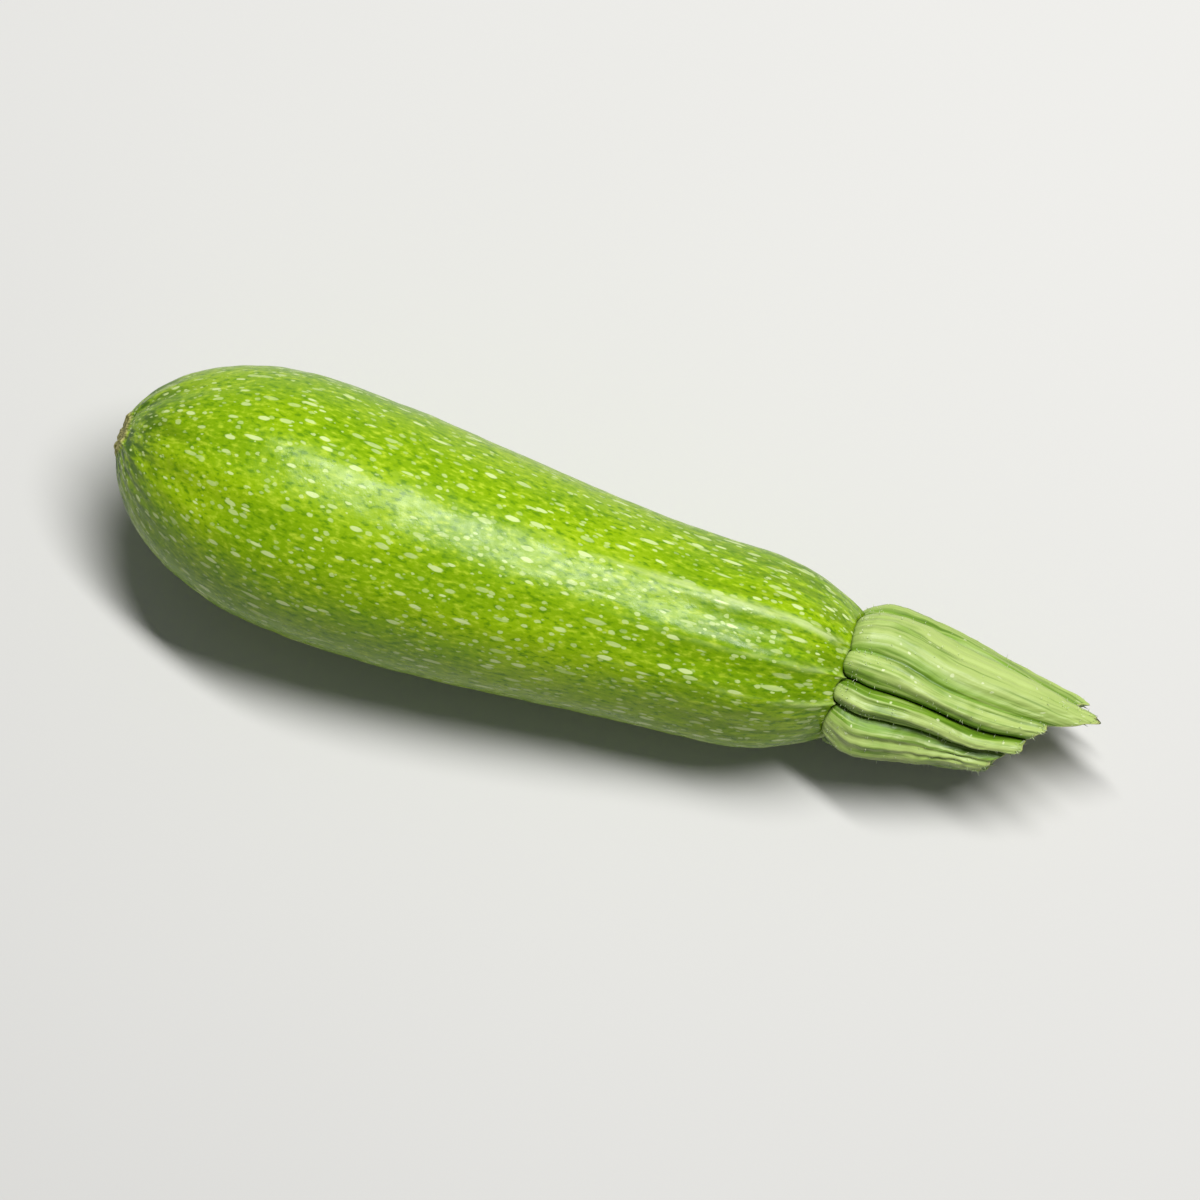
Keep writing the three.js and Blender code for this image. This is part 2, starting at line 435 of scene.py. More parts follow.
@dataclass
class Tree:
    """A shader node tree that nodes are added to and linked in.

    Attributes:
        nodes: The tree itself.
    """

    nodes: bpy.types.NodeTree

    @classmethod
    def of_material(cls, name: str) -> tuple[bpy.types.Material, "Tree"]:
        """A new material with a Principled shader, and its tree.

        Args:
            name: Name of the material.

        Returns:
            The material and its tree.
        """
        material = bpy.data.materials.new(name)
        material.use_nodes = True
        return material, cls(material.node_tree)

    def fill(self, node: bpy.types.Node, inputs: Inputs) -> None:
        """Sets a node's inputs.

        Args:
            node: The node.
            inputs: Value or socket for each input, by name or number.
        """
        for key, value in inputs.items():
            if isinstance(value, Socket):
                self.nodes.links.new(value, node.inputs[key])
            else:
                node.inputs[key].default_value = value

    def shade(self, inputs: Inputs) -> None:
        """Sets the inputs of the material's shader."""
        self.fill(self.nodes.nodes["Principled BSDF"], inputs)

    def add(self, kind: str, inputs: Inputs | None = None, **settings: object) -> bpy.types.Node:
        """A new node.

        Args:
            kind: Blender's name of the node's type.
            inputs: Value or socket for each input, by name or number.
            settings: The node's own settings.

        Returns:
            The node.
        """
        node = self.nodes.nodes.new(kind)
        for name, value in settings.items():
            setattr(node, name, value)
        self.fill(node, inputs or {})
        return node

    def math(self, operation: str, first: object, second: object = 0.0) -> Socket:
        """One sum of two values."""
        return self.add("ShaderNodeMath", {0: first, 1: second}, operation=operation).outputs[0]

    def vector(self, operation: str, first: object, second: object) -> Socket:
        """One sum of two vectors."""
        return self.add("ShaderNodeVectorMath", {0: first, 1: second}, operation=operation).outputs[0]

    def between(self, value: Socket, low: object, high: object, to: Limits = (0.0, 1.0)) -> Socket:
        """A value's smooth step from low to high, as a value from the first limit to the second."""
        inputs = {"Value": value, "From Min": low, "From Max": high, "To Min": to[0], "To Max": to[1]}
        return self.add("ShaderNodeMapRange", inputs, interpolation_type="SMOOTHSTEP").outputs[0]

    def blend(self, share: object, low: object, high: object) -> Socket:
        """The colour at a share of the way from low to high."""
        return self.add("ShaderNodeMix", {0: share, 6: low, 7: high}, data_type="RGBA").outputs[2]

    def noise(self, place: Socket, size: float, detail: float = SOFT_DETAIL, rough: float = 0.5) -> Socket:
        """Smooth noise about 0.5, with spots of about that size."""
        inputs = {"Vector": place, "Scale": 1 / size, "Detail": detail, "Roughness": rough}
        return self.add("ShaderNodeTexNoise", inputs).outputs[0]

    def bump(self, height: Socket, strength: float, distance: float) -> Socket:
        """Normals tilted by a height, which is 1 at that distance above the surface."""
        inputs = {"Height": height, "Strength": strength, "Distance": distance}
        return self.add("ShaderNodeBump", inputs).outputs["Normal"]

    def stretched(self, place: Socket, stretch: float) -> Socket:
        """Places drawn together along the fruit, so that a pattern on them is longer by that much."""
        return self.vector("MULTIPLY", place, (1 / stretch, 1.0, 1.0))

    def read(self, attribute: Attribute) -> Socket:
        """A surface's own values."""
        node = self.add("ShaderNodeAttribute", attribute_name=attribute.value, attribute_type="GEOMETRY")
        return node.outputs["Vector"]

    def split(self, vector: Socket) -> tuple[Socket, Socket, Socket]:
        """The three parts of a vector."""
        return tuple(self.add("ShaderNodeSeparateXYZ", {0: vector}).outputs)


@dataclass(frozen=True)
class FleckGroup:
    """A node group for one layer of pale flecks, each drawn round a random point near the surface.

    A fleck covers the places that are nearer to its point than its own size. Its edge is wavy, and
    only a share of the points has one.

    Attributes:
        name: Name of the group.
        smallest: Smallest fleck as a share of the layer's size.
        largest: Largest fleck as a share of the layer's size.
        core: Share of a fleck's radius that is as pale as it gets.
        faintest: Strength of the faintest fleck.
        wobble_scale: Waves of the edge in a pitch.
    """

    name: str = "fleck_layer"
    smallest: float = 0.6
    largest: float = 1.2
    core: float = 0.7
    faintest: float = 0.45
    wobble_scale: float = 1.9

    def tree(self) -> bpy.types.NodeTree:
        """The group, which is made once."""
        return bpy.data.node_groups.get(self.name) or self._make()

    def _make(self) -> bpy.types.NodeTree:
        """Makes the group.

        Returns:
            The new group.
        """
        group = bpy.data.node_groups.new(self.name, "ShaderNodeTree")
        group.interface.new_socket("Place", in_out="INPUT", socket_type="NodeSocketVector")
        for socket in ("Pitch", "Stretch", "Size", "Presence", "Wobble"):
            group.interface.new_socket(socket, in_out="INPUT", socket_type="NodeSocketFloat")
        group.interface.new_socket("Mask", in_out="OUTPUT", socket_type="NodeSocketFloat")
        tree = Tree(group)
        given = tree.add("NodeGroupInput").outputs
        length = tree.math("MULTIPLY", given["Pitch"], given["Stretch"])
        cell = tree.add("ShaderNodeCombineXYZ", {0: length, 1: given["Pitch"], 2: given["Pitch"]}).outputs[0]
        place = tree.vector("DIVIDE", given["Place"], cell)
        waves = {"Vector": place, "Scale": self.wobble_scale, "Detail": SOFT_DETAIL}
        noise = tree.add("ShaderNodeTexNoise", waves)
        shift = tree.vector("SUBTRACT", noise.outputs["Color"], NOISE_MIDDLE)
        reach = tree.add("ShaderNodeCombineXYZ", {axis: given["Wobble"] for axis in range(3)}).outputs[0]
        wavy = tree.vector("ADD", place, tree.vector("MULTIPLY", shift, reach))
        cells = tree.add("ShaderNodeTexVoronoi", {"Vector": wavy, "Scale": 1.0})
        chance = tree.add("ShaderNodeSeparateColor", {0: cells.outputs["Color"]}).outputs
        share = tree.between(chance[0], 0.0, 1.0, (self.smallest, self.largest))
        edge = tree.math("MULTIPLY", share, given["Size"])
        core = tree.math("MULTIPLY", edge, self.core)
        covered = tree.between(cells.outputs["Distance"], edge, core)
        present = tree.math("LESS_THAN", chance[1], given["Presence"])
        strength = tree.between(chance[2], 0.0, 1.0, (self.faintest, 1.0))
        mask = tree.math("MULTIPLY", tree.math("MULTIPLY", covered, strength), present)
        tree.add("NodeGroupOutput", {"Mask": mask})
        return group


@dataclass(frozen=True)
class Flecks:
    """One layer of flecks.

    Attributes:
        pitch: Distance between the points that flecks are drawn round.
        stretch: How much longer a fleck is than wide.
        size: Radius of a middling fleck as a share of the pitch.
        presence: Share of the points that have a fleck.
        wobble: How wavy the edges are, as a share of the pitch.
    """

    pitch: float
    stretch: float
    size: float
    presence: float
    wobble: float = 0.35

    def mask(self, tree: Tree, place: Socket, size: object = None) -> Socket:
        """Where the flecks are.

        Args:
            tree: Tree of the finish.
            place: Place on the unrolled surface.
            size: Size that varies over the surface, in place of the layer's own.

        Returns:
            1 on a fleck and 0 between flecks.
        """
        inputs = {
            "Place": place,
            "Pitch": self.pitch,
            "Stretch": self.stretch,
            "Size": self.size if size is None else size,
            "Presence": self.presence,
            "Wobble": self.wobble,
        }
        return tree.add("ShaderNodeGroup", inputs, node_tree=FleckGroup().tree()).outputs["Mask"]


@dataclass(frozen=True)
class SkinFinish:
    """Waxy yellow-green skin with pale flecks, which narrow to streaks round a corky scar.

    A fade gives the two noise values between which a marking comes in.
    """

    deep: Colour = colour(120, 158, 3)
    bright: Colour = colour(138, 172, 5)
    shadow: Colour = colour(92, 134, 1)
    glow: Colour = colour(166, 192, 42)
    dark: Colour = colour(62, 98, 3)
    fleck: Colour = colour(194, 211, 140)
    cork: Colour = colour(196, 190, 122)
    cork_dark: Colour = colour(104, 104, 48)
    dots: Flecks = Flecks(pitch=1.2 * MM, stretch=1.6, size=0.34, presence=0.6)
    flecks: Flecks = Flecks(pitch=1.8 * MM, stretch=2.8, size=0.28, presence=0.85, wobble=0.25)
    dashes: Flecks = Flecks(pitch=2.6 * MM, stretch=4.6, size=0.18, presence=0.8, wobble=0.25)
    dot_strength: float = 0.7
    dash_growth: float = 1.4
    patch: float = 14 * MM
    patch_stretch: float = 2.0
    patch_fade: Limits = (0.35, 0.65)
    grain: float = 0.8 * MM
    grain_stretch: float = 2.2
    shadow_fade: Limits = (0.48, 0.3)
    glow_fade: Limits = (0.5, 0.75)
    streak: float = 2.4 * MM
    streak_stretch: float = 12.0
    streak_fade: Limits = (0.42, 0.62)
    streaks_near_scar: Limits = (5.2 * MM, 26 * MM)
    streaks_at_shoulder: float = 0.5
    rib_stretch: float = 5.0
    rib_fade: Limits = (0.4, 0.6)
    rib_strength: Limits = (0.0, 0.8)
    cork_fade: Limits = (0.35, 0.65)
    cork_roughness: float = 0.8
    sheen_fade: Limits = (0.3, 0.7)
    roughness: Limits = (0.26, 0.36)
    specular: float = 0.2
    hammer: float = 1.0 * MM
    hammer_roughness: float = 0.6
    fleck_rise: float = 0.1
    bump_strength: float = 0.5
    bump_height: float = 0.09 * MM

    def material(self) -> bpy.types.Material:
        """Makes the material.

        Returns:
            The new material.
        """
        material, tree = Tree.of_material("zucchini_skin")
        place = tree.read(Attribute.GROWTH)
        scar, shoulder, rib = tree.split(tree.read(Attribute.ZONES))
        grain = tree.noise(tree.stretched(place, self.grain_stretch), self.grain, FINE_DETAIL)
        flecks = self._flecks(tree, place, shoulder)
        flesh = tree.blend(self._streaks(tree, place, shoulder), self._flesh(tree, place, grain), self.dark)
        dots = tree.math("MULTIPLY", self.dots.mask(tree, place), self.dot_strength)
        broken = tree.noise(tree.stretched(place, self.rib_stretch), self.streak, FINE_DETAIL)
        pale_rib = tree.math("MULTIPLY", rib, tree.between(broken, *self.rib_fade, self.rib_strength))
        marks = tree.math("MAXIMUM", dots, tree.math("MAXIMUM", flecks, pale_rib))
        flesh = tree.blend(marks, flesh, self.fleck)
        cork = tree.blend(tree.between(grain, *self.cork_fade), self.cork_dark, self.cork)
        waxy = tree.between(tree.noise(place, self.streak), *self.sheen_fade, self.roughness)
        corky = tree.math("MULTIPLY", scar, self.cork_roughness)
        hammered = tree.noise(place, self.hammer, FINE_DETAIL, self.hammer_roughness)
        height = tree.math("ADD", hammered, tree.math("MULTIPLY", flecks, self.fleck_rise))
        inputs = {
            "Base Color": tree.blend(scar, flesh, cork),
            "Roughness": tree.math("MAXIMUM", waxy, corky),
            "Specular IOR Level": self.specular,
            "Normal": tree.bump(height, self.bump_strength, self.bump_height),
        }
        tree.shade(inputs)
        return material

    def _flesh(self, tree: Tree, place: Socket, grain: Socket) -> Socket:
        """The green between the marks: broad patches of two greens, with a darker and a paler grain.

        Args:
            tree: Tree of the material.
            place: Place on the unrolled surface.
            grain: Fine noise.

        Returns:
            The colour.
        """
        patches = tree.noise(tree.stretched(place, self.patch_stretch), self.patch)
        flesh = tree.blend(tree.between(patches, *self.patch_fade), self.deep, self.bright)
        flesh = tree.blend(tree.between(grain, *self.shadow_fade), flesh, self.shadow)
        return tree.blend(tree.between(grain, *self.glow_fade), flesh, self.glow)

    def _streaks(self, tree: Tree, place: Socket, shoulder: Socket) -> Socket:
        """Where the dark streaks are: round the scar, and fewer at the shoulder.

        Args:
            tree: Tree of the material.
            place: Place on the unrolled surface.
            shoulder: How near the stem a place is.

        Returns:
            1 in a streak and 0 between streaks.
        """
        streaks = tree.noise(tree.stretched(place, self.streak_stretch), self.streak)
        along = tree.split(place)[0]
        near_scar = tree.between(along, *self.streaks_near_scar, (1.0, 0.0))
        at_shoulder = tree.math("MULTIPLY", shoulder, self.streaks_at_shoulder)
        at_ends = tree.math("MAXIMUM", near_scar, at_shoulder)
        return tree.math("MULTIPLY", at_ends, tree.between(streaks, *self.streak_fade))

    def _flecks(self, tree: Tree, place: Socket, shoulder: Socket) -> Socket:
        """Where the larger flecks are: short ones, and dashes that grow towards the stem.

        Args:
            tree: Tree of the material.
            place: Place on the unrolled surface.
            shoulder: How near the stem a place is.

        Returns:
            1 on a fleck and 0 between flecks.
        """
        sizes = (self.dashes.size, self.dash_growth * self.dashes.size)
        dashes = self.dashes.mask(tree, place, tree.between(shoulder, 0.0, 1.0, sizes))
        return tree.math("MAXIMUM", self.flecks.mask(tree, place), dashes)


@dataclass(frozen=True)
class Fruit:
    """The fruit: a half ellipsoid at the blossom end, a taper to the neck and a rounded shoulder."""

    growth: Growth
    finish: SkinFinish = SkinFinish()
    belly_radius: float = 24 * MM
    blossom_cap: float = 38 * MM
    neck_radius: float = 18.4 * MM
    taper_start: float = 40 * MM
    taper_end: float = 125 * MM
    shoulder_start: float = 116 * MM
    shoulder_drop: float = 0.34
    shoulder_power: float = 2.7
    ovality: float = 0.012
    oval_turn: float = 57
    scar_radius: float = 4.2 * MM
    scar_edge: Limits = (3.78 * MM, 4.83 * MM)
    scar_rings: tuple[tuple[float, float], ...] = (
        (0.06, -0.5 * MM),
        (0.3, -0.3 * MM),
        (0.55, 0.08 * MM),
        (0.85, 0.4 * MM),
        (1.0, 0.24 * MM),
        (1.1, 0.0),
    )
    seat_radius: float = 10.2 * MM
    lip_rings: tuple[tuple[float, float], ...] = (
        (0.0, 0.0),
        (0.35, 0.3 * MM),
        (0.7, 0.0),
        (1.0, -0.98 * MM),
        (1.4, -1.4 * MM),
        (4.0, -1.4 * MM),
    )
    rib_at_belly: float = 0.1 * MM
    rib_at_shoulder: float = 0.42 * MM
    rib_at_blossom: float = 0.25 * MM
    rib_grows: Limits = (91 * MM, 129 * MM)
    rib_fades: Limits = (130 * MM, 138.6 * MM)
    rib_clear_of_scar: float = 8.4 * MM
    rib_line: float = 0.7 * MM
    palest_rib: int = 1
    palest_line_grows: Limits = (70 * MM, 126 * MM)
    other_lines: float = 0.5
    other_lines_grow: Limits = (91 * MM, 140 * MM)
    shoulder_marks_grow: Limits = (84 * MM, 140 * MM)
    scar_tilt: float = 8
    scallop: float = 1.3 * MM
    scallop_grows: Limits = (132 * MM, 139 * MM)
    relief_clear_of_scar: float = 12.6 * MM
    creases_start: float = 0.84 * MM
    creases_end: float = 19 * MM
    dents: Relief = Relief(shortest=6 * MM, longest=16 * MM, height=0.05 * MM, seed=3)
    hammering: Relief = Relief(shortest=2.2 * MM, longest=4 * MM, height=0.014 * MM, seed=4)
    creases: Relief = Relief(shortest=5 * MM, longest=12 * MM, height=0.12 * MM, seed=5)
    sides: int = 30
    scar_rows: int = 24
    skin_steps: int = 4000
    skin_rows: int = 330
    lip_rows: int = 22

    def ellipsoid_along(self, radius: float) -> float:
        """How far along the blossom end's ellipsoid reaches a radius."""
        return self.blossom_cap * (1 - math.sqrt(1 - (radius / self.belly_radius) ** 2))

    def body_radius(self, along: Array) -> Array:
        """The radius: an ellipse up to the cap's length, times the taper, times the shoulder's drop.

        Args:
            along: Distance from the blossom end.

        Returns:
            Radii.
        """
        from_tip = np.minimum(along / self.blossom_cap, 1)
        cap = np.sqrt(1 - (1 - from_tip) ** 2)
        taper = mix(self.belly_radius, self.neck_radius, smoothstep(along, self.taper_start, self.taper_end))
        past = np.maximum(along - self.shoulder_start, 0) / (self.growth.fruit_length - self.shoulder_start)
        return taper * cap * (1 - self.shoulder_drop * past**self.shoulder_power)

    def profile(self) -> Array:
        """The outline from the scar's middle over the skin and the lip to the seat's middle.

        Returns:
            Radius and distance along, shape (rows, 2).
        """
        length = self.growth.fruit_length
        scar = []
        for share, rise in self.scar_rings:
            radius = share * self.scar_radius
            scar.append((radius, self.ellipsoid_along(radius) - rise))
        turn = np.linspace(0, np.pi, self.skin_steps)
        along = mix(scar[-1][1], length, (1 - np.cos(turn)) / 2)
        skin = np.stack([self.body_radius(along), along], axis=1)
        rim = float(self.body_radius(np.array(length)))
        lip = [(mix(rim, self.seat_radius, share), length + rise) for share, rise in self.lip_rings]
        parts = [
            curve_through(scar, self.scar_rows),
            evenly_spaced(skin, self.skin_rows)[1:],
            curve_through(lip, self.lip_rows)[1:],
        ]
        return np.concatenate(parts)

    def rib_height(self, along: Array) -> Array:
        """Half the ribs' height: least at the belly, more towards both ends, none at scar and seat."""
        near_shoulder = smoothstep(along, *self.rib_grows)
        near_blossom = 1 - smoothstep(along, self.rib_clear_of_scar, self.blossom_cap)
        height = self.rib_at_belly + (self.rib_at_shoulder - self.rib_at_belly) * near_shoulder
        height = height + (self.rib_at_blossom - self.rib_at_belly) * near_blossom
        scar_fade = smoothstep(along, self.ellipsoid_along(self.scar_radius), self.rib_clear_of_scar)
        return height * scar_fade * (1 - smoothstep(along, *self.rib_fades))

    def rib_lines(self, along: Array, radius: Array, across: Array, number: Array) -> Array:
        """How pale the lines along the ribs are: a bell curve of the distance from the rib's middle.

        Args:
            along: Distance from the blossom end.
            radius: Radius of the outline.
            across: Place between two ribs, -1 to 1.
            number: Number of the ridge that the place runs to.

        Returns:
            Shares from 0 to 1.
        """
        widths = np.radians([ridge.width for ridge in self.growth.ridges])[number]
        from_rib = (1 - np.abs(across)) * widths / 2 * radius
        palest = self.growth.nearest_groove(across, number) == self.palest_rib
        palest_line = smoothstep(along, *self.palest_line_grows)
        other_lines = self.other_lines * smoothstep(along, *self.other_lines_grow)
        return np.exp(-((from_rib / self.rib_line) ** 2)) * np.where(palest, palest_line, other_lines)

    def surface(self) -> Surface:
        """The fruit's surface: the outline turned round the axis, with ribs, an oval and fine relief.

        Returns:
            The surface, before it is set down in the frame.
        """
        profile = self.profile()
        radius, along = profile[:, :1], profile[:, 1:]
        step = unit(np.gradient(profile, axis=0))
        travelled = distance_along(profile)[:, None]
        angle, across, number = self.growth.columns(self.sides)
        unrolled = self.growth.unrolled(travelled, angle, np.sqrt(self.growth.girth * radius))
        relief = self._relief(radius, along, angle, unrolled)
        rib = -self.rib_height(along) * np.cos(np.pi * across)
        oval = 1 + self.ovality * np.cos(2 * angle + math.radians(self.oval_turn))
        outward = radius * oval + rib + relief * step[:, 1:]
        near_tip = 1 - smoothstep(along, 0, self.blossom_cap)
        tilt = math.tan(math.radians(self.scar_tilt)) * radius * np.cos(angle) * near_tip
        scallop = self.scallop * self.growth.hollow(across, number) * smoothstep(along, *self.scallop_grows)
        points = self.growth.place(along - relief * step[:, :1] + tilt + scallop, outward, angle)
        on_scar = (1 - smoothstep(radius, *self.scar_edge)) * (along < self.blossom_cap)
        towards_stem = smoothstep(along, *self.shoulder_marks_grow)
        rib_line = self.rib_lines(along, radius, across, number)
        zones = np.stack(np.broadcast_arrays(on_scar, towards_stem, rib_line), axis=-1)
        return Surface(points, {Attribute.GROWTH: unrolled, Attribute.ZONES: zones})

    def _relief(self, radius: Array, along: Array, angle: Array, unrolled: Array) -> Array:
        """The height of the fine relief: dents and hammering on the skin, and creases that meet at the scar.

        Args:
            radius: Radius of the outline.
            along: Distance from the blossom end.
            angle: Angle round the axis.
            unrolled: Places on the unrolled surface.

        Returns:
            Heights, shape (rows, columns).
        """
        off_seat = 1 - smoothstep(along, *self.rib_fades)
        off_scar = smoothstep(radius, self.scar_radius, self.relief_clear_of_scar)
        relief = (self.dents.at(unrolled) + self.hammering.at(unrolled)) * off_scar * off_seat
        creases = self.creases.at(self.growth.unrolled(0 * along, angle, self.growth.girth))
        near_scar = smoothstep(radius, self.creases_start, self.scar_radius)
        return relief + creases * near_scar * (1 - smoothstep(along, 0, self.creases_end))

    def build(self) -> tuple[bpy.types.Object, Vector]:
        """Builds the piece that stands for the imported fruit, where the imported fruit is.

        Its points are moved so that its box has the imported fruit's top and middle, and what is then
        under the floor is pressed flat against it.

        Returns:
            The piece, and how far it was moved from where it grew.
        """
        surface = self.surface()
        low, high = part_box(Part.FRUIT.value)
        own_low, own_high = surface.rings.min(axis=(0, 1)), surface.rings.max(axis=(0, 1))
        move = (Vector(low) + Vector(high) - Vector(own_low) - Vector(own_high)) / 2
        move.z = high.z - own_high[2]
        surface.rings += np.array(move)
        surface.rings[..., 2] = np.maximum(surface.rings[..., 2], 0)
        piece = surface.to_object("zucchini_fruit")
        piece.data.materials.append(self.finish.material())
        return adopt(piece, Slot.SKIN, Part.FRUIT), move


def adopt(piece: bpy.types.Object, slot: Slot, *parts: Part) -> bpy.types.Object:
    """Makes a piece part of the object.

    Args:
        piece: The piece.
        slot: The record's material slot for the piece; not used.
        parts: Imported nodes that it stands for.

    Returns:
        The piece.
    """
    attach(piece, "root")
    if parts:
        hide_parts(*(part.value for part in parts))
    return piece


@dataclass(frozen=True)
class StemFinish:
    """Matt green stalk: whitish along its crests, partly a painted highlight, with painted shade darkening
    its grooves, moist and pale where it was cut.
    """

    side: Colour = colour(114, 152, 34)
    # Whitish colour of the real pale crests and fine lines, also used as a painted highlight on the crests.
    crest: Colour = colour(174, 193, 110)
    # Painted shade: the dark green laid into the grooves.
    groove: Colour = colour(50, 84, 4)
    streak: Colour = colour(82, 116, 18)
    speck: Colour = colour(200, 210, 160)
    pith: Colour = colour(214, 216, 150)
    wet: Colour = colour(182, 194, 100)
    rind: Colour = colour(92, 126, 30)
    specks: Flecks = Flecks(pitch=1.3 * MM, stretch=1.2, size=0.22, presence=0.5)
    fibre: float = 0.8 * MM
    fibre_stretch: float = 14.0
    fibre_roughness: float = 0.6
    fibre_fade: Limits = (0.35, 0.62)
    line: float = 0.6 * MM
    line_stretch: float = 30.0
    pale_line_fade: Limits = (0.5, 0.62)
    pale_line_strength: Limits = (0.0, 0.55)
    dark_line_fade: Limits = (0.45, 0.33)
    dark_line_strength: Limits = (0.0, 0.6)
    blotch: float = 6 * MM
    blotch_stretch: float = 2.0
    blotch_fade: Limits = (0.25, 0.55)
    # Where the crests' whitish paint, partly a painted highlight, fades in, and how strong it is.
    pale_crest_and_highlight_fade: Limits = (0.72, 1.0)
    pale_crest_and_highlight_strength: float = 0.85
    # Painted shade: where the grooves' darkening fades in.
    painted_groove_shade_fade: Limits = (0.45, 0.0)
    grain: float = 0.5 * MM
    pith_fade: Limits = (0.35, 0.65)
    rind_fade: Limits = (0.82, 1.0)
    sheen_fade: Limits = (0.3, 0.7)
    roughness: Limits = (0.42, 0.6)
    grain_rise: float = 0.4
    bump_strength: float = 0.5
    bump_height: float = 0.2 * MM

    def material(self) -> bpy.types.Material:
        """Makes the material.

        Returns:
            The new material.
        """
        material, tree = Tree.of_material("zucchini_stem")
        place = tree.read(Attribute.GROWTH)
        crown, outward, cut = tree.split(tree.read(Attribute.ZONES))
        drawn = tree.stretched(place, self.fibre_stretch)
        fibres = tree.noise(drawn, self.fibre, FINE_DETAIL, self.fibre_roughness)
        lines = tree.noise(tree.stretched(place, self.line_stretch), self.line)
        grain = tree.noise(place, self.grain)
        flesh = tree.blend(tree.between(grain, *self.pith_fade), self.wet, self.pith)
        flesh = tree.blend(tree.between(outward, *self.rind_fade), flesh, self.rind)
        grown = tree.math("ADD", fibres, lines)
        height = tree.math("ADD", grown, tree.math("MULTIPLY", grain, self.grain_rise))
        inputs = {
            "Base Color": tree.blend(cut, self._stalk(tree, place, crown, fibres, lines), flesh),
            "Roughness": tree.between(fibres, *self.sheen_fade, self.roughness),
            "Normal": tree.bump(height, self.bump_strength, self.bump_height),
        }
        tree.shade(inputs)
        return material

    def _stalk(self, tree: Tree, place: Socket, crown: Socket, fibres: Socket, lines: Socket) -> Socket:
        """The outside's colour: streaked sides, pale and dark lines, blotched crests whose paleness is partly
        a painted highlight, painted shade in the grooves, specks.

        Args:
            tree: Tree of the material.
            place: Place on the unrolled surface.
            crown: How near a crest a place is.
            fibres: Noise drawn out along the stem.
            lines: Finer noise, drawn out further.

        Returns:
            The colour.
        """
        stalk = tree.blend(tree.between(fibres, *self.fibre_fade), self.streak, self.side)
        pale_lines = tree.between(lines, *self.pale_line_fade, self.pale_line_strength)
        stalk = tree.blend(pale_lines, stalk, self.crest)
        blotches = tree.noise(tree.stretched(place, self.blotch_stretch), self.blotch, FINE_DETAIL)
        blotched = tree.between(blotches, *self.blotch_fade)
        # Partly painted highlight: whitish paint on the ridges' crests, in blotches, besides their real
        # paleness.
        pale_crest_and_highlight = tree.math("MULTIPLY", tree.between(crown, *self.pale_crest_and_highlight_fade), blotched)
        stalk = tree.blend(tree.math("MULTIPLY", pale_crest_and_highlight, self.pale_crest_and_highlight_strength), stalk, self.crest)
        dark_lines = tree.between(lines, *self.dark_line_fade, self.dark_line_strength)
        stalk = tree.blend(dark_lines, stalk, self.streak)
        # Painted shade: the grooves are darkened with the groove colour.
        stalk = tree.blend(tree.between(crown, *self.painted_groove_shade_fade), stalk, self.groove)
        return tree.blend(self.specks.mask(tree, place), stalk, self.speck)


@dataclass(frozen=True)
class BristleFinish:
    """Short stiff hairs: green at the root and nearly white at the tip."""

    root: Colour = colour(150, 178, 90)
    tip: Colour = colour(240, 244, 220)
    roughness: float = 0.5

    def material(self) -> bpy.types.Material:
        """Makes the material.

        Returns:
            The new material.
        """
        material, tree = Tree.of_material("zucchini_bristle")
        share = tree.split(tree.read(Attribute.ZONES))[0]
        tree.shade({"Base Color": tree.blend(share, self.root, self.tip), "Roughness": self.roughness})
        return material


# A hair is a three-sided cone: points 0 to 2 go round its root, and point 3 is its tip.
HAIR_SIDES = 3
HAIR_FACES = ((0, 1, 3), (1, 2, 3), (2, 0, 3), (2, 1, 0))
HAIR_SHARES = (0.0, 0.0, 0.0, 1.0)


@dataclass(frozen=True)
class Bristles:
    """Short stiff hairs or fibres that stand on the stem.

    Attributes:
        name: Name of the piece.
        count: Number of hairs.
        lengths: Shortest and longest hair.
        radius: Radius at the root.
        upright: How far a hair stands off the surface, as a share of its length.
        forward: How far a hair reaches towards the cut, as a share of its length.
        unruly: How far it strays from that at random, as a share of its length.
        least_crown: How near a ridge's crest a hair has to be, 0 in the groove and 1 on the crest.
        seed: Seed of the random draw.
        sunk: How far the root is sunk into the stem.
    """

    name: str
    count: int
    lengths: tuple[float, float]
    radius: float
    upright: float
    forward: float
    unruly: float
    least_crown: float
    seed: int
    sunk: float = 0.08 * MM

    def build(self, stem: Surface, rows: range, material: bpy.types.Material) -> bpy.types.Object:
        """Builds the hairs as one piece of three-sided cones, standing on random points of the stem.

        Args:
            stem: The stem's surface, in place.
            rows: Rows of the surface that hairs may stand on.
            material: Their finish.

        Returns:
            The piece.
        """
        draw = np.random.default_rng(self.seed)
        crown = stem.values[Attribute.ZONES][..., 0]
        row, column = np.nonzero(crown[rows.start:rows.stop] > self.least_crown)
        chosen = draw.choice(len(row), self.count, replace=False)
        row, column = row[chosen] + rows.start, column[chosen]
        root = stem.rings[row, column]
        normal = stem.normals()[row, column]
        stray = self.unruly * draw.normal(size=(self.count, 3))
        lean = self.upright * normal + self.forward * stem.lengthwise()[row, column] + stray
        tip = root + draw.uniform(*self.lengths, size=(self.count, 1)) * lean
        side = unit(np.cross(normal, draw.normal(size=(self.count, 3))))
        other = np.cross(normal, side)
        turns = 2 * np.pi * np.arange(HAIR_SIDES)[:, None, None] / HAIR_SIDES
        ring = root - self.sunk * normal + self.radius * (np.cos(turns) * side + np.sin(turns) * other)
        points = np.concatenate([ring, tip[None]]).transpose(1, 0, 2)
        first = len(HAIR_SHARES) * np.arange(self.count)
        faces = (first[:, None, None] + np.array(HAIR_FACES)).reshape(-1, 3)
        piece = mesh_object(self.name, points.reshape(-1, 3), [faces])
        shares = np.repeat(np.tile(HAIR_SHARES, self.count), 3)
        layer = piece.data.attributes.new(Attribute.ZONES.value, "FLOAT_VECTOR", "POINT")
        layer.data.foreach_set("vector", shares.astype(np.float32))
        piece.data.materials.append(material)
        return adopt(piece, Slot.STEM)


